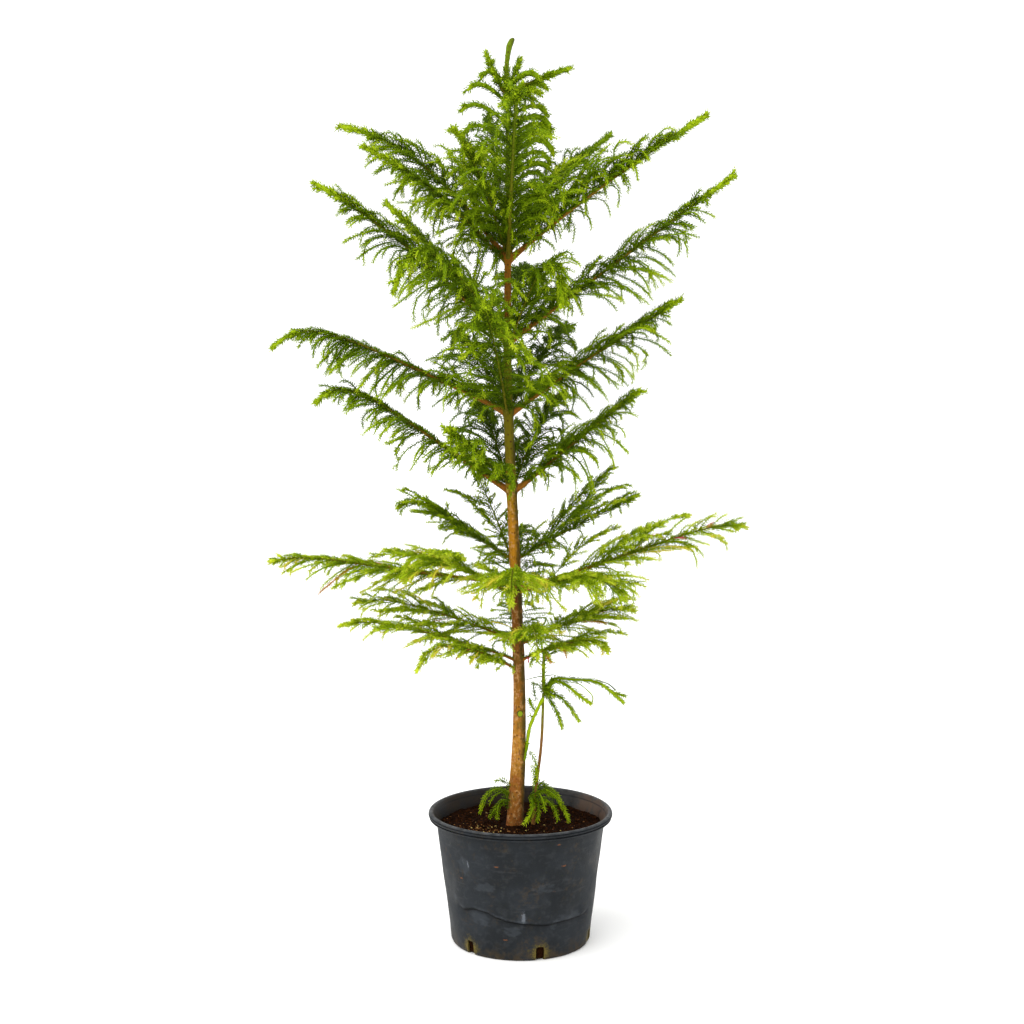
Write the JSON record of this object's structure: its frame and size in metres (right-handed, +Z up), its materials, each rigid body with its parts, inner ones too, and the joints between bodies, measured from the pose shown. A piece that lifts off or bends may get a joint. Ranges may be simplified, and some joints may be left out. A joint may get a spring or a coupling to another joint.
{
  "type": "potted norfolk island pine",
  "caption": "Young conifer with flat, upswept frond-like boughs in tiers round a slender straight trunk, standing in a round black nursery pot of potting mix.",
  "frame": {"origin": "centre of the pot's flat underside", "axes": "+Z up along the trunk; the pictured front of the tree faces -Y, and +X is its right"},
  "size_m": [0.766, 0.5853, 1.4425],
  "materials": {
    "pot": "matte",
    "soil": "rough",
    "bark": "rough",
    "green_needles": "matte",
    "yellow_green_needles": "matte"
  },
  "bodies": {
    "root": {"pot": "pot", "soil": "soil", "trunk": "bark", "sprout_stem": "bark", "bough_2_left": "bark", "bough_2_right": "bark", "bough_4_left": "bark", "bough_4_right": "bark", "bough_5_left": "bark", "bough_5_right": "bark", "bough_6_left": "bark", "bough_6_right": "bark", "bough_7_left": "bark", "bough_7_right": "bark", "foliage_1_back": "yellow_green_needles", "foliage_1_front": "yellow_green_needles", "foliage_1_front_left": "yellow_green_needles", "foliage_1_front_right": "yellow_green_needles", "foliage_1_left": "yellow_green_needles", "foliage_1_low_left": "yellow_green_needles", "foliage_1_right": "yellow_green_needles", "foliage_2_back": "yellow_green_needles", "foliage_2_front": "yellow_green_needles", "foliage_2_front_left": "yellow_green_needles", "foliage_2_front_right": "yellow_green_needles", "foliage_2_left": "yellow_green_needles", "foliage_2_right": "yellow_green_needles", "foliage_3_back_left": "green_needles", "foliage_3_left": "green_needles", "foliage_3_right": "green_needles", "foliage_4_back_left": "green_needles", "foliage_4_back_right": "green_needles", "foliage_4_front_left": "green_needles", "foliage_4_left": "green_needles", "foliage_4_right": "green_needles", "foliage_5_back_left": "green_needles", "foliage_5_back_right": "green_needles", "foliage_5_front": "green_needles", "foliage_5_left": "green_needles", "foliage_5_right": "green_needles", "foliage_6_back": "green_needles", "foliage_6_back_left": "green_needles", "foliage_6_front_left": "green_needles", "foliage_6_front_right": "green_needles", "foliage_6_left": "green_needles", "foliage_6_right": "green_needles", "foliage_7_back": "green_needles", "foliage_7_back_right": "green_needles", "foliage_7_front": "green_needles", "foliage_7_front_left": "green_needles", "foliage_7_left": "green_needles", "foliage_7_low_left": "green_needles", "foliage_7_right": "green_needles", "foliage_8_front": "green_needles", "foliage_8_left": "green_needles", "foliage_8_right": "green_needles", "foliage_8_top": "green_needles", "foliage_basal_left": "yellow_green_needles", "foliage_basal_right": "yellow_green_needles", "foliage_sprout": "yellow_green_needles"}
  },
  "joints": []
}
